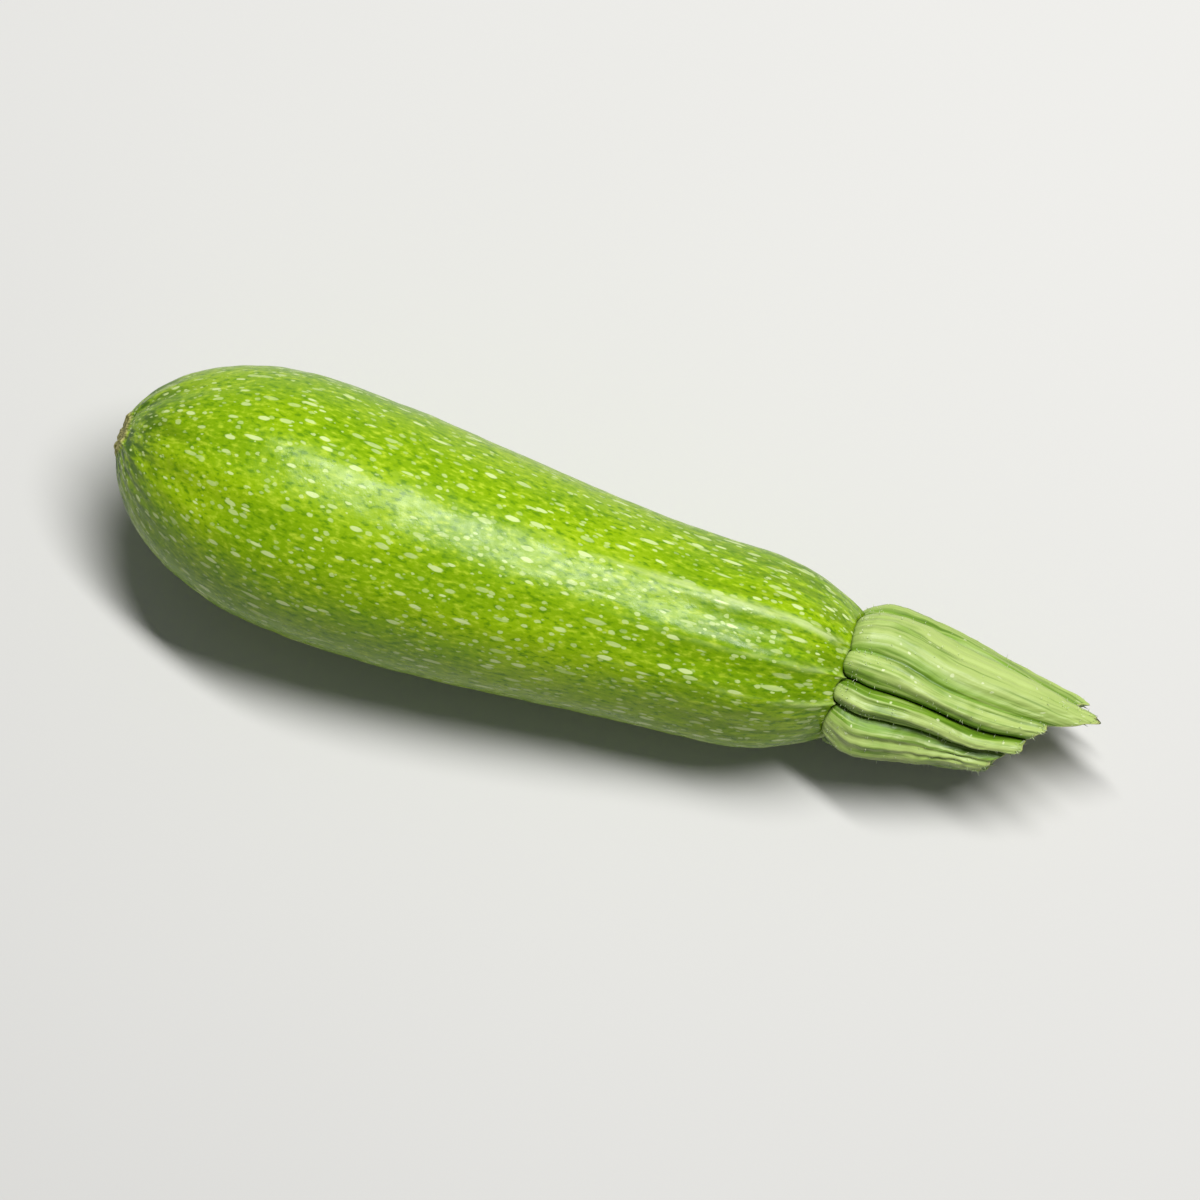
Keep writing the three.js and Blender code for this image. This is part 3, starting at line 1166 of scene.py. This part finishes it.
@dataclass(frozen=True)
class Stem:
    """The stem: uneven ridges with deep grooves between them, cut off at a slant."""

    growth: Growth
    finish: StemFinish = StemFinish()
    hair_finish: BristleFinish = BristleFinish()
    bristles: Bristles = Bristles(
        name="stem_bristles",
        count=700,
        lengths=(0.3 * MM, 0.8 * MM),
        radius=0.08 * MM,
        upright=0.9,
        forward=0.1,
        unruly=0.3,
        least_crown=0.35,
        seed=11,
    )
    fibres: Bristles = Bristles(
        name="cut_fibres",
        count=60,
        lengths=(0.4 * MM, 1.5 * MM),
        radius=0.2 * MM,
        upright=0.1,
        forward=0.9,
        unruly=0.2,
        least_crown=0.1,
        seed=12,
    )
    length: float = 37 * MM
    foot_depth: float = 1.1 * MM
    foot_radius: float = 9.9 * MM
    foot_rings: tuple[tuple[float, float], ...] = ((0.05, 0.0), (0.88, 0.0), (1.0, 0.5 * MM))
    crests: tuple[tuple[float, float], ...] = (
        (10.6 * MM, 0.1 * MM),
        (12.4 * MM, 0.6 * MM),
        (13.5 * MM, 2.6 * MM),
        (13.9 * MM, 6 * MM),
        (13.3 * MM, 15 * MM),
        (11.4 * MM, 26 * MM),
        (9.7 * MM, 34.8 * MM),
        (9.2 * MM, 36.6 * MM),
    )
    groove_at_seat: float = 0.2
    groove_at_cut: float = 0.38
    finger_start: float = 2.2 * MM
    fingers_end_by: float = 0.2
    crests_rise_by: float = 0.2
    relief_rises_by: float = 0.05
    twist: float = 6
    bend: float = 2.4 * MM
    cut_radius: float = 8.9 * MM
    cut_slant: float = 0.72
    cut_longest_side: float = -75
    cut_dish: float = 1.2 * MM
    cut_rings: tuple[tuple[float, float], ...] = ((1.0, 0.0), (0.7, 0.3), (0.36, 0.8), (0.03, 1.0))
    slant_power: float = 3
    tail_taper: float = 0.65
    past_power: float = 0.25
    rim_power: float = 4
    girth: float = 13 * MM
    striation: Relief = Relief(shortest=1.1 * MM, longest=2.6 * MM, height=0.15 * MM, seed=7)
    striation_stretch: float = 16
    bumps: Relief = Relief(shortest=1.5 * MM, longest=4 * MM, height=0.06 * MM, seed=8)
    ragged: Relief = Relief(shortest=2.2 * MM, longest=6 * MM, height=0.35 * MM, seed=9)
    lumps: Relief = Relief(shortest=8 * MM, longest=18 * MM, height=0.22 * MM, seed=14)
    sway: Relief = Relief(shortest=14 * MM, longest=34 * MM, height=0.05, seed=13)
    sides: int = 44
    foot_rows: int = 8
    crest_rows: int = 170
    rows_without_hairs: int = 34
    rim_rows: int = 3
    cut_rows: int = 36

    def profile(self) -> tuple[Array, Array]:
        """The outline of the crests from the foot's middle to the cut's middle.

        Returns:
            Radius and distance along, shape (rows, 2), and 1 for each row on the cut, shape (rows, 1).
        """
        start = self.growth.fruit_length
        foot = [(share * self.foot_radius, start - self.foot_depth + rise) for share, rise in self.foot_rings]
        crests = [(radius, start + past) for radius, past in self.crests]
        end = start + self.length
        cut = [(share * self.cut_radius, end - dish * self.cut_dish) for share, dish in self.cut_rings]
        parts = [
            curve_through(foot, self.foot_rows),
            curve_through(crests, self.crest_rows),
            curve_through(cut, self.cut_rows),
        ]
        on_cut = np.arange(sum(map(len, parts))) >= self.foot_rows + self.crest_rows
        return np.concatenate(parts), on_cut[:, None].astype(float)

    def surface(self) -> Surface:
        """The stem's surface: the outline with ridges and grooves, a slanting cut, a twist and a bend.

        A groove lowers the radius by a share that grows towards the cut, and starts later than a crest.
        The cut draws one side out by a power of the share of the length, and narrows it to a tail. The
        ridges turn by the twist and by a smooth random sway, and the axis bends by the share's square.

        Returns:
            The surface, before it is set down in the frame.
        """
        profile, on_cut = self.profile()
        radius, along = profile[:, :1], profile[:, 1:]
        angle, across, number = self.growth.columns(self.sides)
        crest = np.array([ridge.crest for ridge in self.growth.ridges])[number]
        past = np.array([ridge.past for ridge in self.growth.ridges])[number]
        grown = np.clip((along - self.growth.fruit_length) / self.length, 0, 1)
        hollow = self.growth.hollow(across, number)
        crown = 1 - np.minimum(hollow, 1)
        groove = mix(self.groove_at_seat, self.groove_at_cut, np.sqrt(grown))
        own_crest = (crest - 1) * np.sqrt(1 - across**2)
        crest_share = 1 + own_crest * smoothstep(grown, 0, self.crests_rise_by)
        unrolled = self.growth.unrolled(along, angle, self.girth)
        drawn = unrolled / np.array([self.striation_stretch, 1, 1])
        relief = self.striation.at(drawn) + self.bumps.at(unrolled) + self.lumps.at(unrolled)
        relief = relief * smoothstep(grown, 0, self.relief_rises_by) * (1 - on_cut)
        along = along + self.finger_start * hollow * (1 - smoothstep(grown, 0, self.fingers_end_by))
        ridged = radius * crest_share * (1 - groove * hollow) + relief
        slant = self.cut_slant * ridged * np.cos(angle - math.radians(self.cut_longest_side))
        torn = self.ragged.at(self.growth.unrolled(0 * radius, angle, self.girth))
        stands_past = past * (1 - across**2) ** self.past_power
        rim = (stands_past + torn) * (ridged / self.cut_radius) ** self.rim_power
        drawn_out = grown**self.slant_power * (slant + rim)
        narrowed = ridged * (1 - self.tail_taper * np.maximum(drawn_out, 0) / self.length)
        sway = self.sway.at(unrolled) * smoothstep(grown, 0, self.crests_rise_by)
        turned = angle + math.radians(self.twist) * grown + sway
        points = self.growth.place(along + drawn_out, narrowed, turned, self.bend * grown**2)
        outward = radius / self.cut_radius * on_cut
        zones = np.stack(np.broadcast_arrays(crown, outward, on_cut), axis=-1)
        laid_out = self.growth.unrolled(along, angle, np.where(on_cut > 0, ridged, self.girth))
        return Surface(points, {Attribute.GROWTH: laid_out, Attribute.ZONES: zones})

    def build(self, move: Vector) -> list[bpy.types.Object]:
        """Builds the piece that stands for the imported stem, and its hairs.

        Args:
            move: How far the fruit was moved from where it grew.

        Returns:
            The pieces.
        """
        surface = self.surface()
        surface.rings += np.array(move)
        piece = surface.to_object("zucchini_stem")
        piece.data.materials.append(self.finish.material())
        cut_row = self.foot_rows + self.crest_rows
        outside = range(self.foot_rows + self.rows_without_hairs, cut_row)
        rim = range(cut_row - self.rim_rows, cut_row)
        hair = self.hair_finish.material()
        hairs = [self.bristles.build(surface, outside, hair), self.fibres.build(surface, rim, hair)]
        return [adopt(piece, Slot.STEM, Part.STEM), *hairs]


@dataclass(frozen=True)
class FloorFinish:
    """A plain pale floor with a faint cloudiness."""

    light: Colour = colour(200, 199, 196)
    shade: Colour = colour(195, 194, 191)
    cloud: float = 0.2
    roughness: float = 0.7

    def material(self) -> bpy.types.Material:
        """Makes the material.

        Returns:
            The new material.
        """
        material, tree = Tree.of_material("pale_floor")
        place = tree.add("ShaderNodeTexCoord").outputs["Object"]
        shade = tree.blend(tree.noise(place, self.cloud), self.shade, self.light)
        tree.shade({"Base Color": shade, "Roughness": self.roughness})
        return material


@dataclass(frozen=True)
class Softbox:
    """A soft studio lamp that is turned to the zucchini.

    Attributes:
        name: Name of the lamp.
        place: Where it is.
        size: Its length and width.
        power: Its power in watts.
        tint: Its colour.
    """

    name: str
    place: tuple[float, float, float]
    size: tuple[float, float]
    power: float
    tint: tuple[float, float, float] = (1.0, 1.0, 1.0)

    def build(self, target: Vector) -> bpy.types.Object:
        """Builds the lamp.

        Args:
            target: Point that it shines at.

        Returns:
            The lamp.
        """
        light = bpy.data.lights.new(self.name, "AREA")
        light.shape = "ELLIPSE"
        light.size, light.size_y = self.size
        light.energy = self.power
        light.color = self.tint
        lamp = bpy.data.objects.new(self.name, light)
        lamp.location = self.place
        lamp.rotation_euler = (target - Vector(self.place)).to_track_quat("-Z", "Y").to_euler()
        lamp.visible_camera = False
        bpy.context.scene.collection.objects.link(lamp)
        return lamp


@dataclass(frozen=True)
class Studio:
    """The floor, the light and the camera.

    Attributes:
        azimuth: Where the camera stands, in degrees from -Y towards +X.
        elevation: How high the camera looks down from, in degrees.
        distance: How far away the camera is.
        picture: Width of the picture at the zucchini.
        sensor: Width of the camera's sensor, in millimetres.
        floor_side: Side of the floor.
        sky: Colour of the light from all round.
        sky_power: Strength of the light from all round.
        lamps: The lamps.
    """

    azimuth: float = 18
    elevation: float = 75
    distance: float = 2.7
    picture: float = 0.222
    sensor: float = 36
    floor_side: float = 12
    floor_finish: FloorFinish = FloorFinish()
    sky: tuple[float, float, float, float] = (0.93, 0.97, 1.0, 1.0)
    sky_power: float = 0.15
    lamps: tuple[Softbox, ...] = (
        Softbox("key_softbox", place=(0.1, 0.25, 1.0), size=(0.9, 0.13), power=15),
    )

    def build(self, target: Vector) -> None:
        """Builds all of it.

        Args:
            target: Middle of the zucchini, which the camera and the lamps look at.
        """
        half = self.floor_side / 2
        corners = np.array([(-half, -half, 0), (half, -half, 0), (half, half, 0), (-half, half, 0)])
        floor = mesh_object("floor", corners, [np.array([[0, 1, 2, 3]])])
        floor.data.materials.append(self.floor_finish.material())
        for lamp in self.lamps:
            lamp.build(target)
        world = bpy.data.worlds.new("studio")
        world.use_nodes = True
        background = world.node_tree.nodes["Background"].inputs
        background["Color"].default_value = self.sky
        background["Strength"].default_value = self.sky_power
        bpy.context.scene.world = world
        bpy.context.scene.view_settings.view_transform = "Standard"
        self._camera(target)

    def _camera(self, target: Vector) -> None:
        """Builds the camera and makes it the scene's own.

        Args:
            target: Point in the middle of the picture.
        """
        turn, height = math.radians(self.azimuth), math.radians(self.elevation)
        level = math.cos(height)
        back = Vector((math.sin(turn) * level, -math.cos(turn) * level, math.sin(height)))
        camera = bpy.data.objects.new("camera", bpy.data.cameras.new("camera"))
        camera.data.sensor_width = self.sensor
        camera.data.lens = self.sensor * self.distance / self.picture
        camera.location = target + self.distance * back
        camera.rotation_euler = (-back).to_track_quat("-Z", "Y").to_euler()
        bpy.context.scene.collection.objects.link(camera)
        bpy.context.scene.camera = camera


def main() -> None:
    """Builds the zucchini and its studio, and reports each piece."""
    logging.basicConfig(level=logging.INFO, format="%(name)s: %(message)s")
    growth = Growth()
    fruit, move = Fruit(growth).build()
    pieces = [fruit, *Stem(growth).build(move)]
    for piece in pieces:
        log.info("%s: %d faces", piece.name, len(piece.data.polygons))
    Studio().build((cad_low + cad_high) / 2)


if __name__ == "__main__":
    main()
